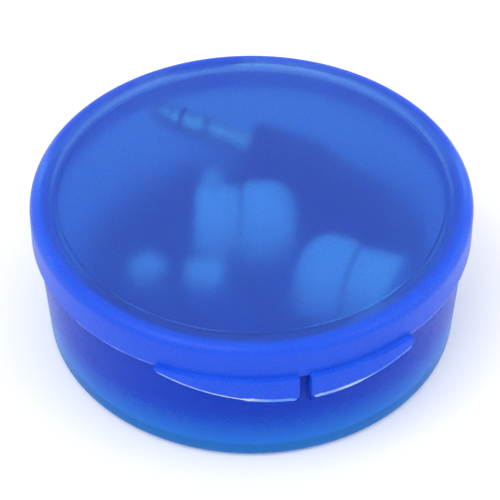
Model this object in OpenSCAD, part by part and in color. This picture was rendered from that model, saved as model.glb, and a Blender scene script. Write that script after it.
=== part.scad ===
// Round hinged travel case with a pair of wired in-ear phones packed inside.
// Origin at the centre of the underside, +Z up, the two-strap hinge towards -Y.

/* [Case] */
// Outer radius of the lid
lid_r = 28.6; // [26:0.1:36]
// Height of the closed case
case_h = 21.2; // [19:0.1:28]
// Height of the lid's skirt, top face to lower edge
skirt_h = 5.2; // [4:0.1:6]
// Wall thickness of lid and tub
wall = 1.1; // [0.9:0.05:1.4]
// How far the tub's wall leans in from shoulder to floor
draft = 0.95; // [0.3:0.05:1.5]
// Rounding of the lid's outer top edge
top_round = 1.4; // [0.6:0.1:2]
// Rounding of the tub's lower edge
foot_round = 1.4; // [0.6:0.1:2]
// Width of the raised ring round the lid's panel
rim_w = 2.7; // [1.5:0.1:4]
// Depth of the lid's panel below its ring
panel_dip = 0.5; // [0.2:0.1:0.8]
// Clearance between the lid's skirt and the tub's neck
lid_gap = 0.4; // [0.3:0.05:0.6]

/* [Hinge] */
// Angle from the middle slot's centre to each strap's inner end
strap_from = 1.5; // [1:0.1:3]
// Angle from the middle slot's centre to the left strap's outer end
strap_to_left = 37; // [30:0.5:40]
// Angle from the middle slot's centre to the right strap's outer end
strap_to_right = 30; // [28:0.5:40]
// How far the straps hang below the skirt at the slot
strap_drop = 3; // [2:0.1:4]
// How far the straps stand out from the skirt
strap_out = 0.8; // [0.5:0.1:1.2]
// Thickness of the tub's ledge under the straps
ledge_t = 0.8; // [0.5:0.1:1.2]
// Thickness of the folding film
film_t = 0.3; // [0.2:0.05:0.4]

/* [Ear pieces] */
// Outer diameter of the soft ear tip
tip_d = 12; // [10:0.1:12.2]
// Diameter of the ear piece's shell
shell_d = 10.8; // [9:0.1:11]
// Length of the ear piece from its back to the end of its tip
bud_l = 13.2; // [12.6:0.1:13.6]
// Diameter of the sound nozzle
nozzle_d = 4.6; // [4:0.1:5.4]

/* [Plug] */
// Diameter of the plug's contacts
jack_d = 3.5; // [3.4:0.01:3.6]
// Length of the plug's contacts
jack_l = 14; // [13.5:0.1:14.5]
// Diameter of the plug's moulded grip
grip_d = 6.8; // [5.5:0.1:7]
// Length of the plug's moulded grip
grip_l = 12; // [10:0.1:12.4]

/* [Cable] */
// Diameter of the cable between plug and splitter
main_d = 2; // [1.6:0.1:2.2]
// Diameter of the two leads between splitter and ear pieces
lead_d = 1.5; // [1.2:0.1:1.6]
// Clearance round a cable where it enters a piece
entry_gap = 0.15; // [0.1:0.05:0.25]

/* [Hidden] */
$fn = 96;

contents_turn = -13;
skirt_z = case_h - skirt_h;
shoulder_z = skirt_z - 0.15;
skirt_in = lid_r - wall;
panel_z = case_h - panel_dip;
lid_under = panel_z - 0.9;
neck_top = lid_under - 0.3;
neck_out = skirt_in - lid_gap + 0.15;
neck_taper = 0.35;
tub_out = lid_r - 0.75;
tub_foot = tub_out - draft;
floor_t = 1.2;
strap_r = lid_r + strap_out;
strap_in = tub_out + 0.3;
fold_z = skirt_z - strap_drop;
cut_lean = 26.5;
film_to = 16;
ledge_to = 28;
blue = [0.11, 0.31, 0.86, 0.75];
white = [0.93, 0.95, 0.97];
black = [0.06, 0.06, 0.07];
nickel = [0.8, 0.8, 0.78];

// A quarter turn of points round a corner, as [radius, height]
function arc(cx, cz, r, from, to, n = 8) = [for (i = [0:n]) let (a = from + (to - from) * i / n)
    [cx + r * cos(a), cz + r * sin(a)]];

// ---- case ----

module tub_profile() {
    inner = neck_out - wall;
    polygon(concat(
        [[0, 0]],
        arc(tub_foot - foot_round, foot_round, foot_round, -90, 0),
        [[tub_out, shoulder_z], [neck_out, shoulder_z],
         [neck_out - neck_taper + 0.1, neck_top - 0.25], [neck_out - neck_taper - 0.15, neck_top],
         [inner - 0.2, neck_top], [inner, shoulder_z + 0.4], [inner + 0.55, shoulder_z - 0.8]],
        arc(tub_foot - wall - 1, floor_t + 1, 1, 0, -90),
        [[0, floor_t]]));
}

module ring_sector(r_in, r_out, z0, z1, a0, a1) {
    translate([0, 0, z0]) rotate([0, 0, a0 - 90]) rotate_extrude(angle = a1 - a0)
        translate([r_in, 0]) square([r_out - r_in, z1 - z0]);
}

// Everything above a plane that leans up from the fold towards the tub's axis
module above_lean(dz) {
    translate([0, -strap_r, fold_z + dz]) rotate([cut_lean, 0, 0])
        translate([-40, -20, 0]) cube([80, 60, 30]);
}

module base_tub() {
    color(blue) union() {
        rotate_extrude() tub_profile();
        for (s = [-1, 1]) mirror([s < 0 ? 1 : 0, 0, 0]) difference() {
            ring_sector(tub_out - 0.5, strap_r, fold_z - 2, shoulder_z - 0.4, strap_from, ledge_to);
            above_lean(-0.15);
            difference() {
                translate([-40, -40, -10]) cube([80, 80, 40]);
                above_lean(-0.15 - ledge_t);
            }
        }
    }
}

module lid_profile() {
    polygon(concat(
        [[0, lid_under], [skirt_in - 0.5, lid_under], [skirt_in, lid_under - 0.5],
         [skirt_in + 0.05, skirt_z], [lid_r, skirt_z]],
        arc(lid_r - top_round, case_h - top_round, top_round, 0, 90),
        [[lid_r - rim_w + 0.25, case_h]],
        [[lid_r - rim_w - 0.25, panel_z], [0, panel_z]]));
}

module lid_cover() {
    tab_w = 12;
    color(blue) union() {
        rotate_extrude() lid_profile();
        for (s = [-1, 1]) mirror([s < 0 ? 1 : 0, 0, 0]) difference() {
            ring_sector(strap_in, strap_r, fold_z - 2, skirt_z + 0.35, strap_from,
                s < 0 ? strap_to_left : strap_to_right);
            difference() {
                translate([-40, -40, -10]) cube([80, 80, 40]);
                above_lean(0);
            }
            translate([0, 0, skirt_z]) cylinder(r = lid_r - 0.3, h = 10);
        }
        intersection() {
            ring_sector(lid_r - 0.3, lid_r + 1.7, skirt_z, skirt_z + 1.2, 180 - tab_w, 180 + tab_w);
            translate([0, lid_r - 4.6, skirt_z]) cylinder(r = 6.2, h = 2);
        }
    }
}

module hinge_film(side) {
    color([0.6, 0.75, 0.98]) mirror([side < 0 ? 1 : 0, 0, 0]) difference() {
        ring_sector(strap_r, strap_r + film_t, fold_z - 2, skirt_z, strap_from + 1, film_to);
        above_lean(0.7);
        difference() {
            translate([-40, -40, -10]) cube([80, 80, 40]);
            above_lean(-0.8);
        }
    }
}
module hinge_film_left() { hinge_film(-1); }
module hinge_film_right() { hinge_film(1); }

// ---- ear pieces: +X of each points out of the ear tip, the back is at x = 0 ----

rear_l = 4.6;
front_l = 2.6;
nozzle_l = 5.2;
tip_from = bud_l - 6.9;
stem_x = 2.2;
stem_end = 9.6;
bud_left = [-7.4, 1.4, 13.5];
bud_left_yaw = 0;
bud_right = [18.6, -12.15, 13.6];
bud_right_yaw = 160;
bud_right_roll = -20;

module packed() { rotate([0, 0, contents_turn]) children(); }
module place_left() { packed() translate(bud_left) rotate([0, 0, bud_left_yaw]) children(); }
module place_right() {
    packed() translate(bud_right) rotate([0, 0, bud_right_yaw]) mirror([0, 1, 0])
        rotate([bud_right_roll, 0, 0]) children();
}
module lathe_x() { rotate([0, 90, 0]) rotate_extrude() children(); }

module ear_tip() {
    r = tip_d / 2;
    n = nozzle_d / 2 + 0.05;
    color(white) translate([tip_from, 0, 0]) lathe_x() polygon(concat(
        [[n, 1.1], [n, 5.9], [n + 0.5, 6.9]],
        arc(r - 3.6, 3.3, 3.6, 80, 0),
        [[r - 0.1, 1.2], [r - 0.5, 0], [r - 1.2, 0], [r - 1, 2.5], [r - 2.6, 5.1], [n + 1, 5.1], [n + 1, 1.1]]));
}

module grille() {
    color(nickel) translate([rear_l + front_l + nozzle_l - 0.6, 0, 0]) rotate([0, 90, 0])
        difference() {
            cylinder(d = nozzle_d - 1.3, h = 0.3);
            for (a = [0:60:300]) rotate([0, 0, a]) translate([0.95, 0, -1]) cylinder(d = 0.5, h = 3, $fn = 24);
            translate([0, 0, -1]) cylinder(d = 0.5, h = 3, $fn = 24);
        }
}

module front_shell() {
    r = shell_d / 2;
    n = nozzle_d / 2;
    end = front_l + nozzle_l;
    color(white) translate([rear_l, 0, 0]) lathe_x() polygon([
        [r, 0.1], [r, 0.8], [r - 0.8, 1.6], [n + 1.4, front_l - 0.4], [n, front_l], [n, end - 0.3], [n - 0.2, end],
        [n - 0.6, end], [n - 0.6, end - 0.6], [n - 0.85, end - 0.6], [n - 0.85, front_l],
        [r - 1.5, 1.2], [r - 1, 0.1]]);
}

module rear_shell() {
    r = shell_d / 2;
    color(white) difference() {
        union() {
            lathe_x() polygon(concat([[0, 0]], arc(r - 1.1, 1.1, 1.1, -90, 0),
                [[r, rear_l], [r - 0.9, rear_l], [r - 0.9, 1], [0, 1]]));
            translate([stem_x, r - 0.5, 0]) rotate([-90, 0, 0]) cylinder(r = 1.9, h = 1.6);
        }
        translate([stem_x, r - 2, 0]) rotate([-90, 0, 0]) cylinder(r = 1, h = 5);
    }
}

module driver() {
    color(nickel) translate([1.5, 0, 0]) lathe_x()
        polygon([[0, 0], [2.8, 0], [2.8, 1], [4.2, 1.4], [4.2, 2.6], [3.6, 2.9], [1.2, 3.2], [0, 3]]);
}

module stem_relief() {
    r = shell_d / 2;
    color(white) translate([stem_x, r + 1.15, 0]) rotate([-90, 0, 0]) rotate_extrude()
        polygon([[lead_d / 2 + entry_gap, 0], [1.8, 0], [1.8, 0.5], [1.5, 0.7], [1.5, 1.1], [1.7, 1.3],
            [1.35, stem_end - r - 1.15], [lead_d / 2 + entry_gap, stem_end - r - 1.15]]);
}

module left_ear_tip() { place_left() ear_tip(); }
module left_grille() { place_left() grille(); }
module left_front_shell() { place_left() front_shell(); }
module left_rear_shell() { place_left() rear_shell(); }
module left_driver() { place_left() driver(); }
module left_relief() { place_left() stem_relief(); }
module right_ear_tip() { place_right() ear_tip(); }
module right_grille() { place_right() grille(); }
module right_front_shell() { place_right() front_shell(); }
module right_rear_shell() { place_right() rear_shell(); }
module right_driver() { place_right() driver(); }
module right_relief() { place_right() stem_relief(); }

// ---- plug: +Z of it points out of its tip, the grip meets the contacts at z = 0 ----

plug_at = [-0.3, 16, 15];
plug_yaw = 163.5;
plug_pitch = 11;
tip_l = 3.9;
ring_l = 2.8;
band_l = 0.7;

module place_plug() {
    packed() translate(plug_at) rotate([0, 90 - plug_pitch, plug_yaw]) children();
}

module plug_tip() {
    r = jack_d / 2;
    z0 = jack_l - tip_l;
    color(nickel) place_plug() rotate_extrude() polygon([[0, z0], [r, z0], [r, z0 + 0.9], [r - 0.45, z0 + 1.5],
        [r - 0.1, z0 + 2.2], [r - 0.9, jack_l - 0.25], [r - 1.35, jack_l], [0, jack_l]]);
}
module plug_ring() {
    z0 = jack_l - tip_l - band_l - ring_l;
    color(nickel) place_plug() translate([0, 0, z0]) difference() {
        cylinder(d = jack_d, h = ring_l);
        translate([0, 0, -1]) cylinder(d = jack_d - 1.2, h = ring_l + 2);
    }
}
module plug_sleeve() {
    l = jack_l - tip_l - 2 * band_l - ring_l;
    color(nickel) place_plug() difference() {
        cylinder(d = jack_d, h = l);
        translate([0, 0, -1]) cylinder(d = jack_d - 0.9, h = l + 2);
    }
}
module plug_insulators() {
    z1 = jack_l - tip_l;
    color(black) place_plug() for (z = [z1 - band_l, z1 - 2 * band_l - ring_l]) translate([0, 0, z])
        cylinder(d = jack_d, h = band_l);
}
module plug_grip() {
    r = grip_d / 2;
    color(black) place_plug() difference() {
        rotate_extrude() polygon(concat([[0, 0], [r - 0.9, 0], [r - 0.4, -0.4]], arc(r - 1, -1.4, 1, 0, 0, 1),
            [[r, -grip_l + 2], [r - 1, -grip_l], [0, -grip_l]]));
        for (i = [0:4]) translate([0, 0, -3.2 - 1.4 * i]) difference() {
            cylinder(r = r + 1, h = 0.5);
            translate([0, 0, -1]) cylinder(r = r - 0.3, h = 3);
        }
    }
}
module plug_relief() {
    hole = main_d / 2 + entry_gap;
    color(black) place_plug() difference() {
        rotate_extrude() polygon([[0, -grip_l], [2.1, -grip_l], [1.5, -grip_l - 6.5], [0, -grip_l - 6.5]]);
        translate([0, 0, -grip_l - 7]) cylinder(r = hole, h = 4);
        for (i = [0:2]) translate([0, 0, -grip_l - 1.6 - 1.5 * i]) difference() {
            cylinder(r = 3, h = 0.6);
            translate([0, 0, -1]) cylinder(r = 1.5, h = 3);
        }
    }
}

// ---- splitter and slider ----

split_at = [-15.6, -6.7, 13.5];
split_yaw = -7.5;
split_l = 4.6;
lead_pitch = 1.9;
slider_from = 7.4;
slider_l = 4.9;

module place_split() { packed() translate(split_at) rotate([0, 0, split_yaw]) children(); }

module y_splitter() {
    color(white) place_split() difference() {
        lathe_x() polygon(concat([[0, 0], [1.5, 0]], arc(0.9, split_l / 2, 1.5, -65, 65),
            [[1.6, split_l], [0, split_l]]));
        translate([-1, 0, 0]) rotate([0, 90, 0]) cylinder(r = main_d / 2 + entry_gap, h = 2.6);
        for (s = [-1, 1]) translate([split_l - 1.6, s * lead_pitch / 2, 0]) rotate([0, 90, 0])
            cylinder(r = lead_d / 2 + entry_gap, h = 3);
    }
}

module lead_slider() {
    color(white) place_split() difference() {
        translate([slider_from, 0, 0]) lathe_x()
            polygon([[0, 0], [1.95, 0], [2.15, slider_l - 0.6], [1.8, slider_l], [0, slider_l]]);
        for (s = [-1, 1]) translate([slider_from - 1, s * lead_pitch / 2, 0]) rotate([0, 90, 0])
            cylinder(r = lead_d / 2 + entry_gap, h = slider_l + 2);
    }
}

// ---- cable: coils as closed rings, and tubes along chosen points ----

module closed_ring(r_in, r_out, z0, z1) {
    color(black) packed() rotate_extrude() translate([r_in, z0]) square([r_out - r_in, z1 - z0]);
}
module main_coil() { closed_ring(18.8, 23.1, 1.35, 7.5); }
module lead_coil() { closed_ring(8.8, 17.4, 1.35, 6.6); }

plug_tail_pts = [[16, 11.2, 11.6], [18, 10.6, 11.2], [20, 9.5, 10.8], [21.6, 7, 10], [22.4, 3.8, 8.9],
    [22.2, 0.4, 7.9], [21.7, -3, 6.9]];
split_tail_pts = [[-14.6, -6.83, 13.5], [-16.6, -6.57, 13.5], [-18.5, -6.5, 13.5], [-20.6, -7.4, 13.3],
    [-21.9, -9.3, 12.9], [-22.1, -11.6, 12.3], [-20.6, -14.6, 11.3], [-17.4, -18, 10], [-12.6, -21.2, 8.8],
    [-7.2, -22.6, 7.8], [-2, -22, 6.8]];
left_run_pts = [[3.2, 0.95, 0], [5.4, 0.95, 0], [9, 0.95, 0], [12, 0.95, 0], [13.4, 0.95, -0.04], [14.6, 0.95, -0.48],
    [15.7, 0.95, -1.6], [16.7, 0.95, -3.3], [17.5, 0.95, -4.7], [18.4, 0.95, -6.2], [19.4, 0.95, -7.2],
    [20.7, 1.05, -7.75], [22.4, 1.6, -7.9]];
right_run_pts = [[3.2, -0.95, 0], [5.4, -0.95, 0], [9, -0.95, 0], [12, -0.95, 0], [13.4, -0.95, -0.04],
    [14.6, -0.95, -0.48], [15.7, -0.95, -1.6], [16.7, -0.95, -3.3], [17.5, -0.95, -4.7], [18.4, -0.95, -6.3], [19.4, -0.95, -7.35],
    [20.7, -0.85, -7.9], [22.4, -0.3, -8.15]];
left_tail_pts = [[-5.2, 9.2, 13.5], [-5.2, 11.4, 13.5], [-5.8, 13.4, 13.1], [-8, 15.4, 11.6], [-11, 15.2, 9.6],
    [-13, 12, 8.1], [-14.3, 8.8, 6]];
right_tail_pts = [[19.13, -4.25, 10.83], [19.71, -2.66, 10.21], [20.1, -0.6, 9.6], [19.6, 1.6, 9.3], [18, 3.8, 9],
    [15.6, 5.6, 8.1], [12.9, 7.2, 6.9], [10.6, 8.6, 5.9]];

function unit(v) = v / norm(v);
function catmull(p0, p1, p2, p3, t) = 0.5 * (2 * p1 + (p2 - p0) * t + (2 * p0 - 5 * p1 + 4 * p2 - p3) * t * t
    + (3 * p1 - p0 - 3 * p2 + p3) * t * t * t);
function smooth(pts, steps) = let (n = len(pts)) concat([for (i = [0:n - 2], j = [0:steps - 1])
    catmull(pts[max(i - 1, 0)], pts[i], pts[i + 1], pts[min(i + 2, n - 1)], j / steps)], [pts[n - 1]]);
function heading(p, i) = unit(p[min(i + 1, len(p) - 1)] - p[max(i - 1, 0)]);

// One closed tube with eight sides along a list of points
module tube(pts, d) {
    sides = 8;
    line = smooth(pts, 2);
    n = len(line);
    rings = [for (i = [0:n - 1]) let (h = heading(line, i), u = unit(cross(h, [0.13, 0.21, 0.97])), v = cross(h, u))
        for (k = [0:sides - 1]) line[i] + d / 2 * (cos(360 * k / sides) * u + sin(360 * k / sides) * v)];
    walls = [for (i = [0:n - 2], k = [0:sides - 1]) let (a = i * sides + k, b = i * sides + (k + 1) % sides)
        for (f = [[a, b, b + sides], [a, b + sides, a + sides]]) f];
    caps = concat([for (k = [1:sides - 2]) [0, k + 1, k]],
        [for (k = [1:sides - 2]) let (e = (n - 1) * sides) [e, e + k, e + k + 1]]);
    polyhedron(rings, concat(walls, caps));
}
module main_plug_tail() { color(black) packed() tube(plug_tail_pts, main_d); }
module main_split_tail() { color(black) packed() tube(split_tail_pts, main_d); }
module left_lead_run() { color(black) place_split() tube(left_run_pts, lead_d); }
module right_lead_run() { color(black) place_split() tube(right_run_pts, lead_d); }
module left_lead_tail() { color(black) packed() tube(left_tail_pts, lead_d); }
module right_lead_tail() { color(black) packed() tube(right_tail_pts, lead_d); }

base_tub();
lid_cover();
hinge_film_left();
hinge_film_right();
left_ear_tip();
left_grille();
left_front_shell();
left_rear_shell();
left_driver();
left_relief();
right_ear_tip();
right_grille();
right_front_shell();
right_rear_shell();
right_driver();
right_relief();
main_coil();
lead_coil();
main_plug_tail();
main_split_tail();
left_lead_run();
right_lead_run();
left_lead_tail();
right_lead_tail();
y_splitter();
lead_slider();
plug_grip();
plug_relief();
plug_tip();
plug_ring();
plug_sleeve();
plug_insulators();
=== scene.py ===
"""Frosted round travel case on a living hinge, with wired in-ear phones packed inside."""
import logging
import math
import random
from dataclasses import dataclass, field
from enum import Enum
from typing import Callable, Iterable, Sequence

import bmesh
import bpy
from mathutils import Matrix, Vector, noise


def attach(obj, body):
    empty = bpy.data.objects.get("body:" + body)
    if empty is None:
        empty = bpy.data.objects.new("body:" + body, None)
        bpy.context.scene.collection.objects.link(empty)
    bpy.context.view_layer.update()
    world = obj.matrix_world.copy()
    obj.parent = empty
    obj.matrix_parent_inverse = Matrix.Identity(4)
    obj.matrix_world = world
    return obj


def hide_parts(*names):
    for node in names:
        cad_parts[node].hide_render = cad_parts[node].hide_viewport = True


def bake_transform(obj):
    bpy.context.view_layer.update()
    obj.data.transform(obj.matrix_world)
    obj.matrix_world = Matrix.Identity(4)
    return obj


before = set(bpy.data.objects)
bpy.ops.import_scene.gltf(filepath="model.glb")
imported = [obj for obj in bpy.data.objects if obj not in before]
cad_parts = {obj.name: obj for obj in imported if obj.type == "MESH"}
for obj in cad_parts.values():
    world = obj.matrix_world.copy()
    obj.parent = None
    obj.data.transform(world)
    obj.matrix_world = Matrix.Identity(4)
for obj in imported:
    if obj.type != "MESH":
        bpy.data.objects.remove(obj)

log = logging.getLogger("travel_case")
MM = 0.001
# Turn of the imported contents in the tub
CONTENTS_TURN = math.radians(-13)
# Turn in which a cable settles from its end on to the coil, and the steps in a whole turn
SETTLE_TURN = math.radians(110)
TURN_STEPS = 16
# Width of a patch of colour, in grains
PATCH_GRAINS = 14
# Width of the band in which the rim of a clear piece thickens
RIM_BAND_MM = 1.2
Point = tuple[float, float, float]
Profile = list[tuple[float, float]]


# ---------------------------------------------------------------- small tools


def linear(hex_colour: str, alpha: float = 1.0) -> tuple[float, float, float, float]:
    """Turns an sRGB hex colour to linear.

    Args:
        hex_colour: Six hex digits, with or without a leading #.
        alpha: Value of the fourth channel.

    Returns:
        Linear red, green, blue and alpha.
    """
    digits = hex_colour.lstrip("#")
    parts = [int(digits[i : i + 2], 16) / 255 for i in (0, 2, 4)]
    bent = [c / 12.92 if c <= 0.04045 else ((c + 0.055) / 1.055) ** 2.4 for c in parts]
    return (*bent, alpha)


def arc(cx: float, cz: float, r: float, start: float, end: float, steps: int = 8) -> Profile:
    """Points round a corner of a profile.

    Args:
        cx: Radius of the corner's centre.
        cz: Height of the corner's centre.
        r: Corner radius.
        start: First angle in degrees.
        end: Last angle in degrees.
        steps: Number of steps.

    Returns:
        Points as (radius, height).
    """
    turns = [math.radians(start + (end - start) * i / steps) for i in range(steps + 1)]
    return [(cx + r * math.cos(t), cz + r * math.sin(t)) for t in turns]


def mesh_object(name: str, points: Sequence[Point], faces: Sequence[Sequence[int]]) -> bpy.types.Object:
    """Makes a smooth-shaded, outward-facing mesh from points in millimetres.

    Args:
        name: Name of the piece.
        points: Vertices in millimetres, in the row frame.
        faces: Vertex indices of each face.

    Returns:
        The linked object, in metres.
    """
    data = bpy.data.meshes.new(name)
    data.from_pydata([tuple(c * MM for c in p) for p in points], [], faces)
    work = bmesh.new()
    work.from_mesh(data)
    bmesh.ops.remove_doubles(work, verts=work.verts, dist=0.001 * MM)
    bmesh.ops.dissolve_degenerate(work, edges=work.edges, dist=0.001 * MM)
    bmesh.ops.recalc_face_normals(work, faces=work.faces)
    work.to_mesh(data)
    work.free()
    data.shade_smooth()
    obj = bpy.data.objects.new(name, data)
    bpy.context.scene.collection.objects.link(obj)
    return obj


def sharpen(obj: bpy.types.Object, degrees: float = 35) -> None:
    """Marks the edges sharper than an angle, so smooth shading stops at them."""
    obj.data.set_sharp_from_angle(angle=math.radians(degrees))


def lathe_sheet(rows: Sequence[Sequence[Point]]) -> tuple[list[Point], list[list[int]]]:
    """Joins columns of points into a closed surface of revolution-like quads.

    Args:
        rows: One list of points for each angle, all equally long, going round once.

    Returns:
        Points and faces.
    """
    n, m = len(rows), len(rows[0])
    points = [p for row in rows for p in row]
    faces = [
        [i * m + k, i * m + k + 1, ((i + 1) % n) * m + k + 1, ((i + 1) % n) * m + k]
        for i in range(n)
        for k in range(m - 1)
    ]
    return points, faces

def bar_faces(steps: int, corners: int) -> list[list[int]]:
    """Faces of a bar made of equal closed sections, with both ends capped.

    Args:
        steps: Number of steps along the bar.
        corners: Number of corners of a section.

    Returns:
        Vertex indices of each face.
    """
    faces = []
    for i in range(steps):
        here, there = i * corners, (i + 1) * corners
        for k in range(corners):
            beside = (k + 1) % corners
            faces.append([here + k, here + beside, there + beside, there + k])
    first_cap = list(range(corners))
    last_cap = [steps * corners + k for k in reversed(range(corners))]
    return faces + [first_cap, last_cap]


def ease(share: float) -> float:
    """Holds a share between 0 and 1 and lets it start and end gently."""
    held = min(max(share, 0.0), 1.0)
    return held * held * (3 - 2 * held)


def catmull(points: Sequence[Vector], steps: int) -> list[Vector]:
    """Runs one smooth curve through points.

    Args:
        points: Points to pass through.
        steps: Steps between two points.

    Returns:
        Points along the curve.
    """
    curve = []
    last = len(points) - 1
    for i in range(last):
        p0, p1, p2, p3 = (points[min(max(i + k, 0), last)] for k in (-1, 0, 1, 2))
        for j in range(steps):
            t = j / steps
            bend = (2 * p0 - 5 * p1 + 4 * p2 - p3) * t**2 + (3 * p1 - p0 - 3 * p2 + p3) * t**3
            curve.append(0.5 * (2 * p1 + (p2 - p0) * t + bend))
    return curve + [points[-1]]


# ---------------------------------------------------------------- finishes


def node(tree: bpy.types.NodeTree, kind: str, links: dict[str | int, object] | None = None,
         **settings: object) -> bpy.types.Node:
    """Adds one shader node with its settings, its socket values and its links.

    Args:
        tree: Node tree to add to.
        kind: Type name of the node.
        links: Input name or index, to a value or to another node's output socket.
        **settings: Properties of the node.

    Returns:
        The new node.
    """
    new = tree.nodes.new(kind)
    for key, value in settings.items():
        setattr(new, key, value)
    for key, value in (links or {}).items():
        if isinstance(value, bpy.types.NodeSocket):
            tree.links.new(value, new.inputs[key])
        else:
            new.inputs[key].default_value = value
    return new


@dataclass(frozen=True)
class Finish:
    """One material and how its surface was made; some finishes also carry painted light in their colour.

    The real grain of these moulded and turned surfaces is well under 0.1 mm, too fine to show. grain_mm is
    therefore drawn coarser.
    """

    name: str
    colour: str
    second: str
    roughness: float
    grain_mm: float
    bump_mm: float
    metallic: float = 0.0
    ior: float = 1.5
    transmission: float = 0.0
    sheen: float = 0.0
    spread: float = 0.5
    # Clear share of the plastic: its tint and roughness, and how it falls from transmission to rim_share
    tint: str = "#FFFFFF"
    clear_rough: float = 0.3
    rim_from_mm: float = 0.0
    rim_share: float = 0.0
    speckle: float = 0.0
    # Height of the foot painted paler as glow of light gathering in the floor; 0 gives soft patches of the
    # second colour instead
    glow_foot_mm: float = 0.0

    def build(self) -> bpy.types.Material:
        """Builds the node material: mottled colour, uneven roughness and a fine bump.

        Returns:
            The material.
        """
        mat = bpy.data.materials.new(self.name)
        mat.use_nodes = True
        tree = mat.node_tree
        tree.nodes.clear()
        place = node(tree, "ShaderNodeTexCoord").outputs["Object"]
        cell = 1 / (self.grain_mm * MM)
        fine = {"Vector": place, "Scale": cell, "Detail": 3.0, "Roughness": 0.6}
        grain = node(tree, "ShaderNodeTexNoise", fine).outputs["Fac"]
        rough = node(tree, "ShaderNodeMapRange", {
            "Value": grain, "From Min": 0.3, "From Max": 0.7,
            "To Min": self.roughness * 0.9, "To Max": self.roughness * 1.1,
        })
        relief = {"Height": grain, "Strength": 0.6, "Distance": self.bump_mm * MM}
        normal = node(tree, "ShaderNodeBump", relief).outputs["Normal"]
        shader = node(tree, "ShaderNodeBsdfPrincipled", {
            "Base Color": self.mottle(tree, place, cell), "Roughness": rough.outputs["Result"],
            "Normal": normal, "Metallic": self.metallic, "IOR": self.ior, "Sheen Weight": self.sheen,
        })
        surface = shader.outputs["BSDF"]
        if self.transmission:
            clear = node(tree, "ShaderNodeBsdfPrincipled", {
                "Base Color": linear(self.tint), "Roughness": self.clear_rough, "Normal": normal,
                "IOR": self.ior, "Transmission Weight": 1.0,
            })
            share = self.clear_share(tree, place, grain)
            mix = node(tree, "ShaderNodeMixShader", {0: share, 1: surface, 2: clear.outputs["BSDF"]})
            surface = mix.outputs["Shader"]
        node(tree, "ShaderNodeOutputMaterial", {"Surface": surface})
        return mat

    def mottle(self, tree: bpy.types.NodeTree, place: bpy.types.NodeSocket,
               cell: float) -> bpy.types.NodeSocket:
        """Mixes the two colours: in soft patches, or with the second one as painted glow at the foot where a
        foot height is set.

        Args:
            tree: Material's node tree.
            place: Object coordinates.
            cell: Grain cells in a metre.

        Returns:
            Socket with the colour.
        """
        if self.glow_foot_mm:
            # Painted glow: the paler second colour fades in towards the foot, where light gathers in the floor
            height = node(tree, "ShaderNodeSeparateXYZ", {"Vector": place}).outputs["Z"]
            blend = node(tree, "ShaderNodeMapRange", {
                "Value": height, "From Min": 0.0, "From Max": self.glow_foot_mm * MM,
                "To Min": 1.0, "To Max": 0.0,
            }, interpolation_type="SMOOTHSTEP")
        else:
            patches = {"Vector": place, "Scale": cell / PATCH_GRAINS, "Detail": 2.0}
            drift = node(tree, "ShaderNodeTexNoise", patches).outputs["Fac"]
            blend = node(tree, "ShaderNodeMapRange", {
                "Value": drift, "From Min": 0.35, "From Max": 0.65, "To Min": 0.0, "To Max": self.spread,
            })
        sockets = {0: blend.outputs["Result"], 6: linear(self.colour), 7: linear(self.second)}
        return node(tree, "ShaderNodeMix", sockets, data_type="RGBA").outputs[2]

    def clear_share(self, tree: bpy.types.NodeTree, place: bpy.types.NodeSocket,
                    grain: bpy.types.NodeSocket) -> bpy.types.NodeSocket:
        """Share of the light let through: speckled by the frosting, and less where the rim is thicker.

        Args:
            tree: Material's node tree.
            place: Object coordinates.
            grain: Fine noise of the frosting.

        Returns:
            Socket with the share.
        """
        flat = node(tree, "ShaderNodeVectorMath", {0: place, 1: (1, 1, 0)}, operation="MULTIPLY")
        radius = node(tree, "ShaderNodeVectorMath", {0: flat.outputs["Vector"]}, operation="LENGTH")
        rim = node(tree, "ShaderNodeMapRange", {
            "Value": radius.outputs["Value"],
            "From Min": self.rim_from_mm * MM, "From Max": (self.rim_from_mm + RIM_BAND_MM) * MM,
            "To Min": self.transmission, "To Max": self.rim_share,
        }, interpolation_type="SMOOTHSTEP")
        speckle = node(tree, "ShaderNodeMapRange", {
            "Value": grain, "From Min": 0.3, "From Max": 0.7,
            "To Min": -self.speckle, "To Max": self.speckle,
        })
        both = {0: rim.outputs["Result"], 1: speckle.outputs["Result"]}
        return node(tree, "ShaderNodeMath", both, operation="ADD", use_clamp=True).outputs["Value"]


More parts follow.
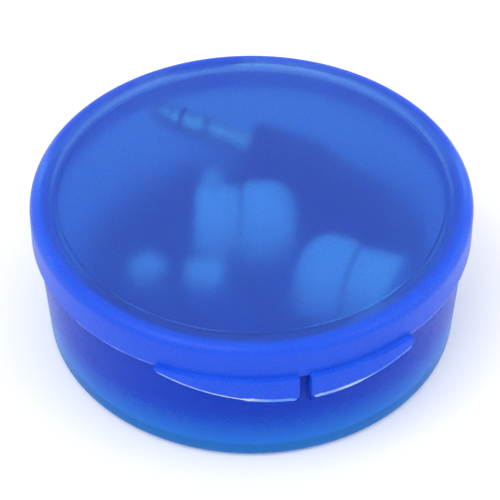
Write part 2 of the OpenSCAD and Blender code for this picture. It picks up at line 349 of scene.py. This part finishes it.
class Finishes(Enum):
    """Every finish on the object."""

    # Frosted polypropylene, moulded against a blasted tool: half scatters, half lets a blurred view through
    FROSTED_PP = Finish("Polypropylene_frosted_moulded", "#145AF2", "#1052EE", 0.38, 0.25, 0.005,
                        ior=1.31, transmission=0.75, tint="#9AE6FF", clear_rough=0.38, rim_from_mm=26.4,
                        rim_share=0.44, speckle=0.13)
    # The tub is the same plastic with a smoother wall; its paler foot is painted glow of the light that gathers
    # in its floor
    TUB_PP = Finish("Polypropylene_tub_moulded", "#0A48E0", "#2C98FF", 0.38, 0.3, 0.003,
                    ior=1.18, transmission=0.56, tint="#8CD4FF", clear_rough=0.24, rim_from_mm=40,
                    rim_share=0.56, speckle=0.04, glow_foot_mm=9.5)
    # Pale polypropylene: stress whitening where the hinge film folds, and painted highlight along the straps'
    # and the skirt's lower edges
    WHITENED_AND_HIGHLIGHT_PP = Finish("Polypropylene_whitened_and_painted_highlight", "#5C96FF", "#D8E6FF", 0.5, 0.4, 0.05,
                        ior=1.3, transmission=0.35, tint="#9AE6FF", rim_from_mm=40, rim_share=0.35,
                        spread=1.0)
    # ABS shells of the ear pieces, satin from the mould
    WHITE_ABS = Finish("ABS_white_satin_moulded", "#F4F6F8", "#E9EDF1", 0.28, 0.25, 0.004, spread=0.4)
    # Silicone is matt and slightly see-through
    WHITE_SILICONE = Finish("Silicone_white_moulded", "#F2F4F6", "#E4E8EE", 0.55, 0.2, 0.006,
                            ior=1.41, sheen=0.15)
    # PVC cable jacket, extruded: satin with fine length-wise unevenness
    BLACK_PVC = Finish("PVC_black_extruded", "#101114", "#1A1B20", 0.38, 0.22, 0.01)
    # PVC grip of the plug, moulded over the contacts
    BLACK_GRIP = Finish("PVC_black_moulded_grip", "#0E0F11", "#17181B", 0.46, 0.18, 0.012)
    # Nickel plate on brass, turned and tumbled
    NICKEL = Finish("Nickel_plated_brass_turned", "#D9D6CC", "#C9C6BC", 0.2, 0.12, 0.002, metallic=1.0)
    # Stainless steel grille and driver housing, pressed
    STEEL = Finish("Stainless_steel_pressed", "#B8BBBE", "#A3A6AA", 0.32, 0.15, 0.004, metallic=1.0)


class Palette:
    """Builds each finish once and hands it out."""

    def __init__(self) -> None:
        """Starts with no material built."""
        self.built: dict[Finishes, bpy.types.Material] = {}

    def dress(self, obj: bpy.types.Object, finish: Finishes) -> bpy.types.Object:
        """Gives an object one finish.

        Args:
            obj: Piece or CAD node.
            finish: Finish to give it.

        Returns:
            The same object.
        """
        if finish not in self.built:
            self.built[finish] = finish.value.build()
        obj.data.materials.clear()
        obj.data.materials.append(self.built[finish])
        return obj


# ---------------------------------------------------------------- case


@dataclass
class Case:
    """Tub, lid and the folding film between them, in millimetres; angles are counted from the slot."""

    palette: Palette
    lid_r: float = 28.6
    case_h: float = 21.2
    skirt_h: float = 5.2
    wall: float = 1.1
    draft: float = 0.95
    top_round: float = 1.4
    foot_round: float = 1.4
    rim_w: float = 2.7
    panel_dip: float = 0.5
    panel_t: float = 0.9
    groove_d: float = 0.14
    ring_round: float = 0.25
    edge: float = 0.12
    strap_from: float = 1.5
    strap_to_left: float = 37.0
    strap_to_right: float = 30.0
    ledge_to: float = 28.0
    strap_drop: float = 3.0
    strap_out: float = 0.8
    strap_lean: float = 26.5
    film_gap: float = 0.17
    fold_to: float = 16.0
    # Angular length of the painted highlight along the skirt's lower edge beyond each strap
    highlight_to: float = 26.0
    hinge_y: float = -29.0
    ledge_t: float = 0.8
    floor_t: float = 1.2
    columns: int = 288

    def __post_init__(self) -> None:
        """Works out the heights and radii that follow from the driving sizes."""
        self.skirt_z = self.case_h - self.skirt_h
        self.shoulder_z = self.skirt_z - 0.15
        self.skirt_in = self.lid_r - self.wall
        self.panel_z = self.case_h - self.panel_dip
        self.lid_under = self.panel_z - self.panel_t
        self.neck_top = self.lid_under - 0.3
        self.neck_out = self.skirt_in - 0.25
        self.tub_out = self.lid_r - 0.75
        self.tub_foot = self.tub_out - self.draft
        self.strap_r = self.lid_r + self.strap_out
        self.strap_in = self.tub_out + 0.3
        self.fold_z = self.skirt_z - self.strap_drop
        self.plain_top = self.shoulder_z - 0.65
        self.lean = math.tan(math.radians(self.strap_lean))

    def fold_height(self, r: float, degrees: float) -> float:
        """Height of the leaning plane in which the straps end, at a radius and an angle."""
        return self.fold_z + self.lean * (self.strap_r - r * math.cos(math.radians(degrees)))

    def turns(self, left: float, right: float) -> list[tuple[float, bool]]:
        """Angles of the columns, each with whether it lies in a strap.

        Args:
            left: Angle at which the left strap ends.
            right: Angle at which the right strap ends.

        Returns:
            (angle in degrees, in a strap) in order round the case.
        """
        start = self.strap_from
        marks = (-left, -start, start, right)
        step_off = 0.02
        even = [-180 + 360 * i / self.columns for i in range(self.columns)]
        free = [a for a in even if min(abs(a - m) for m in marks) > 0.05]
        round_case = [(a, -left < a < -start or start < a < right) for a in free]
        round_case += [(m, True) for m in marks]
        round_case += [(-left - step_off, False), (-start + step_off, False)]
        round_case += [(start - step_off, False), (right + step_off, False)]
        return sorted(round_case)

    def column(self, degrees: float, profile: Profile) -> list[Point]:
        """Stands a profile up at an angle."""
        a = math.radians(degrees - 90)
        return [(r * math.cos(a), r * math.sin(a), z) for r, z in profile]

    def lid_profile(self, degrees: float, strap: bool) -> Profile:
        """Section of the lid at one angle, from the panel's top over the skirt to its underside.

        Args:
            degrees: The angle.
            strap: Whether it lies in a strap.

        Returns:
            Points as (radius, height).
        """
        ring = self.lid_r - self.rim_w
        groove_z = self.panel_z - self.groove_d
        line = [(r, self.panel_z) for r in (0.0, 8, 16, 22, ring - 1.0)]
        line += [(ring - 0.85, groove_z), (ring - 0.65, groove_z)]
        line += arc(ring - 0.45, self.panel_z + self.ring_round, self.ring_round, -90, -20, 4)
        line += arc(ring + 0.2, self.case_h - self.ring_round, self.ring_round, 160, 90, 4)
        line += [(ring + 1.0, self.case_h)]
        line += arc(self.lid_r - self.top_round, self.case_h - self.top_round, self.top_round, 90, 0, 12)
        line += [(self.lid_r, self.skirt_z + z) for z in (2.2, 0.55)]
        line += self.strap_edge(degrees) if strap else self.skirt_edge()
        line += [(self.skirt_in + 0.15, self.skirt_z), (self.skirt_in + 0.05, self.skirt_z + 0.1)]
        line += [(self.skirt_in, self.lid_under - 0.5), (self.skirt_in - 0.15, self.lid_under - 0.15)]
        return line + [(r, self.lid_under) for r in (self.skirt_in - 0.5, 22, 12, 0.0)]

    def skirt_edge(self) -> Profile:
        """Lower edge of the plain skirt, from its outer face to its underside."""
        line = [(self.lid_r, self.skirt_z + z) for z in (0.42, 0.35, 0.28, 0.2, self.edge)]
        return line + [(r, self.skirt_z) for r in (self.lid_r - self.edge, self.lid_r - 0.4, self.strap_in)]

    def strap_edge(self, degrees: float) -> Profile:
        """Strap hanging from the skirt, with as many points as skirt_edge gives.

        Args:
            degrees: The angle.

        Returns:
            Points as (radius, height), from the skirt down to the fold and up inside.
        """
        low_out = min(self.fold_height(self.strap_r, degrees), self.skirt_z + 0.05)
        low_in = min(self.fold_height(self.strap_in, degrees), self.skirt_z + 0.02)
        line = [(self.lid_r + 0.03, self.skirt_z + 0.42), (self.strap_r - 0.2, self.skirt_z + 0.35)]
        line += [(self.strap_r - 0.05, self.skirt_z + 0.28), (self.strap_r, self.skirt_z + 0.14)]
        line += [(self.strap_r, low_out + self.edge), (self.strap_r - self.edge, low_out)]
        return line + [(self.strap_in, low_in), (self.strap_in, self.skirt_z)]

    def wall_at(self, z: float) -> float:
        """Outer radius of the tub's drafted wall at a height."""
        share = (z - self.foot_round) / (self.shoulder_z - self.foot_round)
        return self.tub_foot + self.draft * share

    def tub_profile(self, degrees: float, strap: bool) -> Profile:
        """Section of the tub at one angle, from the underside up the wall and down inside.

        Args:
            degrees: The angle.
            strap: Whether it lies in the ledge below a strap.

        Returns:
            Points as (radius, height).
        """
        inner = self.neck_out - self.wall
        corner = self.tub_foot - self.foot_round
        line = [(r, 0.0) for r in (0.0, 14, 22)]
        line += arc(corner, self.foot_round, self.foot_round, -90, 0, 10)
        line += [(self.wall_at(z), z) for z in (4, 7, 10)]
        line += self.ledge(degrees, strap)
        line += [(self.tub_out - 0.02, self.shoulder_z - 0.15), (self.tub_out - 0.15, self.shoulder_z)]
        line += [(self.neck_out, self.shoulder_z), (self.neck_out - 0.25, self.neck_top - 0.25)]
        line += [(self.neck_out - 0.5, self.neck_top), (inner - 0.1, self.neck_top)]
        line += [(inner - 0.2, self.neck_top - 0.1)]
        line += [(inner, self.shoulder_z + 0.4), (inner + 0.55, self.shoulder_z - 0.8)]
        line += arc(self.tub_foot - self.wall - 1, self.floor_t + 1, 1, 0, -90, 8)
        return line + [(r, self.floor_t) for r in (16.0, 8.0, 0.0)]

    def ledge(self, degrees: float, strap: bool) -> Profile:
        """Stretch of the wall at the ledge's height: the ledge, or the same number of points on the wall.

        Args:
            degrees: The angle.
            strap: Whether the ledge stands out here.

        Returns:
            Points as (radius, height), going up.
        """
        top = self.fold_height(self.strap_r, degrees) - self.film_gap
        low = top - self.ledge_t
        if not strap:
            steps = (low - 1.2, low - 0.8, low - 0.3, low + 0.1, top - 0.3, top - 0.1, top)
            return [(self.wall_at(z), z) for z in (min(step, self.plain_top) for step in steps)]
        line = [(self.wall_at(low - 1.2), low - 1.2), (self.strap_r - 0.7, low - 0.25)]
        line += [(self.strap_r - 0.1, low + 0.02), (self.strap_r, low + self.edge)]
        line += [(self.strap_r, top - 0.1), (self.strap_r - 0.1, top)]
        back_z = min(top - self.lean * (self.strap_out + 0.6) + 0.55, top)
        return line + [(self.wall_at(top) + 0.02, back_z)]

    def shell(self, name: str, section: Callable[[float, bool], Profile], left: float,
              right: float) -> bpy.types.Object:
        """Builds one of the two halves from its section at every angle.

        Args:
            name: Name of the half.
            section: Gives the half's profile at an angle.
            left: Angle at which its left strap or ledge ends.
            right: Angle at which its right one ends.

        Returns:
            The half.
        """
        rows = [self.column(a, section(a, strap)) for a, strap in self.turns(left, right)]
        obj = mesh_object(name, *lathe_sheet(rows))
        sharpen(obj, 38)
        return obj

    def thumb_tab(self) -> bpy.types.Object:
        """Builds the small lip opposite the hinge that a thumb lifts.

        Returns:
            The lip.
        """
        steps, half_angle, stands_out, thick = 24, 11.5, 1.5, 1.2
        root = self.lid_r - 0.02
        bevel_r = self.lid_r + 0.1
        points = []
        for i in range(steps + 1):
            t = -1 + 2 * i / steps
            reach = self.lid_r + 0.06 + stands_out * math.sqrt(max(0.0, 1 - t * t))
            a = math.radians(90 + half_angle * t)
            section = [(root, 0.0), (bevel_r, 0.0), (reach, 0.08), (reach, thick - self.edge)]
            section += [(bevel_r, thick), (root, thick)]
            points += [(r * math.cos(a), r * math.sin(a), self.skirt_z + z) for r, z in section]
        return mesh_object("thumb_tab", points, bar_faces(steps, len(section)))

    def pale_ribbon(self, name: str, side: int, start: float, end: float, below: float, above: float, seed: int,
               radius: float = 0.0) -> bpy.types.Object:
        """Builds a ragged pale ribbon, used for stress whitening along a strap's fold and for painted
        highlights along the lower edges.

        Args:
            name: Name of the piece.
            side: -1 for the left strap, 1 for the right.
            start: First angle.
            end: Last angle.
            below: Reach below the fold.
            above: Reach above the fold.
            seed: Seed of the ragged edge.
            radius: Radius of a painted highlight on the skirt's lower edge; 0 follows the fold.

        Returns:
            The ribbon.
        """
        rng = random.Random(seed)
        steps = int((end - start) * 4)
        middle = radius or self.strap_r
        points = []
        for i in range(steps + 1):
            a = start + (end - start) * i / steps
            fade = min(1.0, i / 4 + 0.3, (steps - i) / 10 + 0.15)
            rough = noise.noise(Vector((a * 0.9, side * 3.0, seed))) * 0.5 + rng.uniform(-0.25, 0.25)
            up = above * fade * (1 + rough)
            down = below * fade * (1 - 0.6 * rough)
            z = self.skirt_z + 0.1 if radius else self.fold_height(self.strap_r, a)
            section = [(middle - 0.06, z + up), (middle + 0.03, z + up * 0.7)]
            section += [(middle + 0.07 + 0.05 * rough, z)]
            section += [(middle + 0.03, z - down * 0.7), (middle - 0.06, z - down)]
            turn = math.radians(side * a - 90)
            points += [(r * math.cos(turn), r * math.sin(turn), h) for r, h in section]
        return mesh_object(name, points, bar_faces(steps, len(section)))

    def finish_piece(self, obj: bpy.types.Object, finish: Finishes, body: str = "",
                     cad: str = "") -> bpy.types.Object:
        """Dresses one piece and says what it rides on and replaces.

        Args:
            obj: The piece.
            finish: Its finish.
            body: Body that it rides on; empty for a piece that is blended between two.
            cad: CAD node that it replaces, if any.

        Returns:
            The same piece.
        """
        self.palette.dress(obj, finish)
        if body:
            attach(obj, body)
        if cad:
            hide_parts(cad)
        return obj

    def folds_and_highlights(self, side: int, word: str, strap_to: float) -> list[bpy.types.Object]:
        """Builds the whitened fold of one strap, and the painted highlights along its lower edge and along the
        skirt's lower edge beyond it.

        Args:
            side: -1 for the left strap, 1 for the right.
            word: The side's name.
            strap_to: Angle at which the strap ends.

        Returns:
            The three pieces.
        """
        pale = Finishes.WHITENED_AND_HIGHLIGHT_PP
        film = self.pale_ribbon(f"hinge_film_{word}_fold", side, self.strap_from + 0.6, self.fold_to, 0.26, 0.3,
                           7 + side)
        self.finish_piece(film, pale, cad=f"hinge_film_{word}")
        # Painted highlight: a pale ribbon along the strap's lower edge stands in for the light that edge
        # catches
        edge = self.pale_ribbon(f"strap_edge_{word}", side, self.fold_to - 0.5, strap_to - 0.5, 0.04, 0.14,
                           17 + side)
        self.finish_piece(edge, pale, "lid")
        # Painted highlight: a pale ribbon along the skirt's lower edge stands in for the light its sharp edge
        # catches
        skirt_highlight = self.pale_ribbon(f"skirt_painted_highlight_{word}", side, strap_to + 1, strap_to + self.highlight_to, 0.06, 0.05,
                            27 + side, self.lid_r - 0.03)
        self.finish_piece(skirt_highlight, pale, "lid")
        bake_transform(film)
        return [film, edge, skirt_highlight]

    def build(self) -> list[bpy.types.Object]:
        """Builds, dresses and rides every piece of the case.

        Returns:
            The pieces.
        """
        tub = self.shell("tub", self.tub_profile, self.ledge_to, self.ledge_to)
        lid = self.shell("lid", self.lid_profile, self.strap_to_left, self.strap_to_right)
        tab = self.thumb_tab()
        self.finish_piece(tub, Finishes.TUB_PP, "case", "base_tub")
        self.finish_piece(lid, Finishes.FROSTED_PP, "lid", "lid_cover")
        self.finish_piece(tab, Finishes.FROSTED_PP, "lid")
        left = self.folds_and_highlights(-1, "left", self.strap_to_left)
        right = self.folds_and_highlights(1, "right", self.strap_to_right)
        return [tub, lid, tab, *left, *right]


# ---------------------------------------------------------------- contents


EAR_PIECE: dict[str, Finishes] = {
    "ear_tip": Finishes.WHITE_SILICONE,
    "relief": Finishes.WHITE_SILICONE,
    "grille": Finishes.STEEL,
    "driver": Finishes.STEEL,
    "front_shell": Finishes.WHITE_ABS,
    "rear_shell": Finishes.WHITE_ABS,
}
PLUG: dict[str, Finishes] = {
    "plug_grip": Finishes.BLACK_GRIP,
    "plug_relief": Finishes.BLACK_GRIP,
    "plug_tip": Finishes.NICKEL,
    "plug_ring": Finishes.NICKEL,
    "plug_sleeve": Finishes.NICKEL,
    "plug_insulators": Finishes.BLACK_GRIP,
}
JOINERS: dict[str, Finishes] = {"y_splitter": Finishes.WHITE_ABS, "lead_slider": Finishes.WHITE_ABS}


@dataclass
class Contents:
    """Everything packed in the tub; the CAD shapes stay and get their finishes."""

    palette: Palette

    def build(self) -> list[bpy.types.Object]:
        """Dresses the CAD nodes that stay.

        Returns:
            The dressed nodes.
        """
        finishes = {f"{side}_{part}": f for side in ("left", "right") for part, f in EAR_PIECE.items()}
        finishes |= PLUG | JOINERS
        return [self.palette.dress(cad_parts[name], finish) for name, finish in finishes.items()]


# ---------------------------------------------------------------- cable


@dataclass
class Cable:
    """The cable's three lengths: plug to splitter, and splitter to each ear piece."""

    palette: Palette
    main_d: float = 2.0
    lead_d: float = 1.5
    split_at: Point = (-15.6, -6.7, 13.5)
    split_yaw: float = -7.5
    plug_tail: Sequence[Point] = ((16, 11.2, 11.6), (18, 10.6, 11.2), (20, 9.5, 10.8), (21.6, 7, 10),
                                  (22.4, 3.8, 8.9), (22.2, 0.4, 7.9), (21.7, -3, 6.9))
    split_tail: Sequence[Point] = ((-14.6, -6.83, 13.5), (-16.6, -6.57, 13.5), (-18.5, -6.5, 13.5),
                                   (-20.6, -7.4, 13.3), (-21.9, -9.3, 12.9), (-22.1, -11.6, 12.3),
                                   (-20.6, -14.6, 11.3), (-17.4, -18, 10), (-12.6, -21.2, 8.8),
                                   (-7.2, -22.6, 7.8), (-2, -22, 6.8))
    left_run: Sequence[Point] = ((3.2, 0.95, 0), (5.4, 0.95, 0), (9, 0.95, 0), (12, 0.95, 0),
                                 (13.4, 0.95, -0.04), (14.6, 0.95, -0.48), (15.7, 0.95, -1.6),
                                 (16.7, 0.95, -3.3), (17.5, 0.95, -4.7), (18.4, 0.95, -6.2),
                                 (19.4, 0.95, -7.2), (20.7, 1.05, -7.75), (22.4, 1.6, -7.9))
    right_run: Sequence[Point] = ((3.2, -0.95, 0), (5.4, -0.95, 0), (9, -0.95, 0), (12, -0.95, 0),
                                 (13.4, -0.95, -0.04), (14.6, -0.95, -0.48), (15.7, -0.95, -1.6),
                                 (16.7, -0.95, -3.3), (17.5, -0.95, -4.7), (18.4, -0.95, -6.3),
                                 (19.4, -0.95, -7.35), (20.7, -0.85, -7.9), (22.4, -0.3, -8.15))
    left_tail: Sequence[Point] = ((-5.2, 9.2, 13.5), (-5.2, 11.4, 13.5), (-5.8, 13.4, 13.1),
                                  (-8, 15.4, 11.6), (-11, 15.2, 9.6), (-13, 12, 8.1), (-14.3, 8.8, 6))
    right_tail: Sequence[Point] = ((19.13, -4.25, 10.83), (19.71, -2.66, 10.21), (20.1, -0.6, 9.6),
                                   (19.6, 1.6, 9.3), (18, 3.8, 9), (15.6, 5.6, 8.1), (12.9, 7.2, 6.9),
                                   (10.6, 8.6, 5.9))
    # (radius, height) of each turn of the main coil
    main_lanes: Profile = field(
        default_factory=lambda: [(21.9, 2.5), (19.9, 2.5), (20.9, 4.3), (22.0, 5.9), (20.0, 6.1)])
    # Heights and radii of the two leads, which wind inside the main coil
    left_level: float = 2.2
    right_level: float = 4.2
    hank_inner: tuple[float, float] = (9.4, 11.2)
    hank_outer: float = 17.2
    hank_pitch: float = 1.6
    turned: Matrix = field(default_factory=lambda: Matrix.Rotation(CONTENTS_TURN, 4, "Z"))

    def packed(self, points: Iterable[Point]) -> list[Vector]:
        """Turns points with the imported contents."""
        return [self.turned @ Vector(p) for p in points]

    def from_split(self, points: Iterable[Point]) -> list[Vector]:
        """Places points that are given from the splitter."""
        place = Matrix.Translation(self.split_at) @ Matrix.Rotation(math.radians(self.split_yaw), 4, "Z")
        return [self.turned @ (place @ Vector(p)) for p in points]

    @staticmethod
    def settle(spot: Vector, away: float, r: float, z: float) -> tuple[float, float]:
        """Radius and height on the way between an end point and the coil.

        Args:
            spot: The end point.
            away: Angle travelled from it, in radians.
            r: The coil's radius there.
            z: The coil's height there.

        Returns:
            Radius and height.
        """
        share = ease(away / SETTLE_TURN)
        spot_r = spot.xy.length
        return spot_r + (r - spot_r) * share, spot.z + (z - spot.z) * share

    def winding(self, start: Vector, end: Vector) -> list[Vector]:
        """Points of the main cable's turns between its two ends, counterclockwise seen from above.

        Args:
            start: Point where the cable comes down on the coil.
            end: Point where it leaves.

        Returns:
            The points between start and end.
        """
        lanes = self.main_lanes
        change_from, change_share = 0.78, 0.22
        first = math.atan2(start.y, start.x)
        sweep = (math.atan2(end.y, end.x) - first) % math.tau
        total = sweep + math.tau * (len(lanes) - 1)
        count = int(total / math.tau * TURN_STEPS)
        points = []
        for i in range(1, count):
            done = total * i / count
            lap = done / math.tau
            low = min(int(lap), len(lanes) - 1)
            high = min(low + 1, len(lanes) - 1)
            share = ease((lap - low - change_from) / change_share)
            r = lanes[low][0] + (lanes[high][0] - lanes[low][0]) * share
            z = lanes[low][1] + (lanes[high][1] - lanes[low][1]) * share
            for spot, away in ((start, done), (end, total - done)):
                r, z = self.settle(spot, away, r, z)
            a = first + done
            points.append(Vector((r * math.cos(a), r * math.sin(a), z)))
        return points

    def hank(self, start: Vector, end: Vector, level: float) -> list[Vector]:
        """Points of a lead that winds one way inside, turns back and winds the other way outside.

        Args:
            start: Point where the lead comes down on the coil, heading counterclockwise.
            end: Point where it leaves, heading clockwise.
            level: Height of its layer.

        Returns:
            The points between start and end.
        """
        first = math.atan2(start.y, start.x)
        last = math.atan2(end.y, end.x)
        ahead = 2.5 * math.pi
        back = (first + ahead - last) % math.tau + math.tau
        inner_from, inner_to = self.hank_inner
        path = []
        inner_steps = 20
        for i in range(1, inner_steps):
            done = ahead * i / inner_steps
            r = inner_from + (inner_to - inner_from) * i / inner_steps
            path.append((first + done, *self.settle(start, done, r, level)))
        middle = (inner_to + self.hank_outer) / 2
        reach = (self.hank_outer - inner_to) / 2
        for i in range(7):
            turn = math.pi * i / 6
            r = middle - reach * math.cos(turn)
            path.append((first + ahead + reach * math.sin(turn) / r, r, level))
        count = int(back / math.tau * TURN_STEPS)
        for i in range(1, count):
            done = back * i / count
            r = self.hank_outer - self.hank_pitch * done / math.tau
            path.append((first + ahead - done, *self.settle(end, back - done, r, level)))
        return [Vector((r * math.cos(a), r * math.sin(a), z)) for a, r, z in path]

    def lay(self, name: str, points: Sequence[Vector], diameter: float, cad: Sequence[str]) -> bpy.types.Object:
        """Args:
            name: Name of the cable.
            points: Points in millimetres, from its exit.
            diameter: Its diameter in millimetres.
            cad: CAD nodes that it replaces.

        Returns:
            The cable.
        """
        line = catmull(points, 3)
        data = bpy.data.curves.new(name, "CURVE")
        data.dimensions = "3D"
        data.bevel_depth = diameter / 2 * MM
        data.bevel_resolution = 4
        data.use_fill_caps = True
        spline = data.splines.new("POLY")
        spline.points.add(len(line) - 1)
        for spot, p in zip(spline.points, line):
            spot.co = (*(p * MM), 1)
        obj = bpy.data.objects.new(name, data)
        bpy.context.scene.collection.objects.link(obj)
        self.palette.dress(obj, Finishes.BLACK_PVC)
        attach(obj, "case")
        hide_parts(*cad)
        return obj

    def build(self) -> list[bpy.types.Object]:
        """Lays the three cables.

        Returns:
            The cables.
        """
        split_tail = self.packed(self.split_tail)
        plug_tail = self.packed(self.plug_tail)
        main = split_tail + self.winding(split_tail[-1], plug_tail[-1]) + plug_tail[::-1]
        main_nodes = ["main_coil", "main_plug_tail", "main_split_tail"]
        cables = [self.lay("main_cable", main, self.main_d, main_nodes)]
        sides = (
            ("left", self.left_run, self.left_tail, self.left_level, ["lead_coil"], ["lead_slider"]),
            ("right", self.right_run, self.right_tail, self.right_level, [], []),
        )
        for side, run, tail, level, shared_coil, shared_piece in sides:
            start = self.from_split(run)
            end = self.packed(tail)
            line = start + self.hank(start[-1], end[-1], level) + end[::-1]
            nodes = shared_coil + [f"{side}_lead_run", f"{side}_lead_tail"]
            cables.append(self.lay(f"{side}_lead", line, self.lead_d, nodes))
        return cables


# ---------------------------------------------------------------- studio


@dataclass
class Studio:
    """Pale floor, soft lights and the camera, in metres."""

    azimuth: float = -13.0
    elevation: float = 43.46
    distance: float = 0.3282
    lens: float = 179.6
    aim_height: float = 0.0106
    shift_left: float = 0.0002
    shift_up: float = 0.00016
    floor_half: float = 3.0
    sky_strength: float = 1.05
    key: tuple[Point, float, float] = ((-0.35, -0.25, 0.6), 0.5, 1.9)
    fill: tuple[Point, float, float] = ((0.5, -0.3, 0.45), 0.5, 1.0)

    def camera(self) -> None:
        """Stands the camera at the viewing angle of the case."""
        a = math.radians(self.azimuth)
        e = math.radians(self.elevation)
        back = Vector((math.sin(a) * math.cos(e), -math.cos(a) * math.cos(e), math.sin(e)))
        right = Vector((math.cos(a), math.sin(a), 0))
        up = back.cross(right)
        target = Vector((0, 0, self.aim_height)) - right * self.shift_left + up * self.shift_up
        data = bpy.data.cameras.new("camera")
        data.lens = self.lens
        data.sensor_width = 36
        data.clip_start = 0.01
        data.clip_end = 20
        cam = bpy.data.objects.new("camera", data)
        cam.location = target + back * self.distance
        cam.rotation_mode = "QUATERNION"
        cam.rotation_quaternion = (-back).to_track_quat("-Z", "Y")
        bpy.context.scene.collection.objects.link(cam)
        bpy.context.scene.camera = cam

    def floor(self) -> None:
        """Lays a wide floor of matt white paper, which throws a soft even light back at the case."""
        s = self.floor_half
        data = bpy.data.meshes.new("floor")
        data.from_pydata([(-s, -s, 0), (s, -s, 0), (s, s, 0), (-s, s, 0)], [], [[0, 1, 2, 3]])
        obj = bpy.data.objects.new("floor", data)
        bpy.context.scene.collection.objects.link(obj)
        mat = bpy.data.materials.new("Paper_white_matt")
        mat.use_nodes = True
        shader = mat.node_tree.nodes["Principled BSDF"]
        shader.inputs["Base Color"].default_value = linear("#F7F7F7")
        shader.inputs["Roughness"].default_value = 0.9
        data.materials.append(mat)

    def light(self, name: str, place: Point, size: float, power: float) -> None:
        """Hangs one soft square light aimed at the case.

        Args:
            name: Name of the light.
            place: Where it hangs.
            size: Length of its side.
            power: Its power in watts.
        """
        data = bpy.data.lights.new(name, "AREA")
        data.size = size
        data.energy = power
        obj = bpy.data.objects.new(name, data)
        obj.location = place
        obj.rotation_mode = "QUATERNION"
        obj.rotation_quaternion = (-Vector(place)).to_track_quat("-Z", "Y")
        bpy.context.scene.collection.objects.link(obj)

    def build(self) -> None:
        """Builds the whole studio."""
        self.floor()
        self.camera()
        world = bpy.data.worlds.new("studio")
        world.use_nodes = True
        sky = world.node_tree.nodes["Background"]
        sky.inputs["Color"].default_value = linear("#FFFFFF")
        sky.inputs["Strength"].default_value = self.sky_strength
        bpy.context.scene.world = world
        bpy.context.scene.view_settings.view_transform = "Standard"
        self.light("key", *self.key)
        self.light("fill", *self.fill)


def main() -> None:
    """Builds the studio and the object in order and reports each piece."""
    logging.basicConfig(level=logging.INFO)
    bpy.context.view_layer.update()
    Studio().build()
    palette = Palette()
    for sub_assembly in (Case(palette), Contents(palette), Cable(palette)):
        for piece in sub_assembly.build():
            log.info("%s is made of %s", piece.name, piece.data.materials[0].name)
    bpy.context.view_layer.update()
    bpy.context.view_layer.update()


if __name__ == "__main__":
    main()
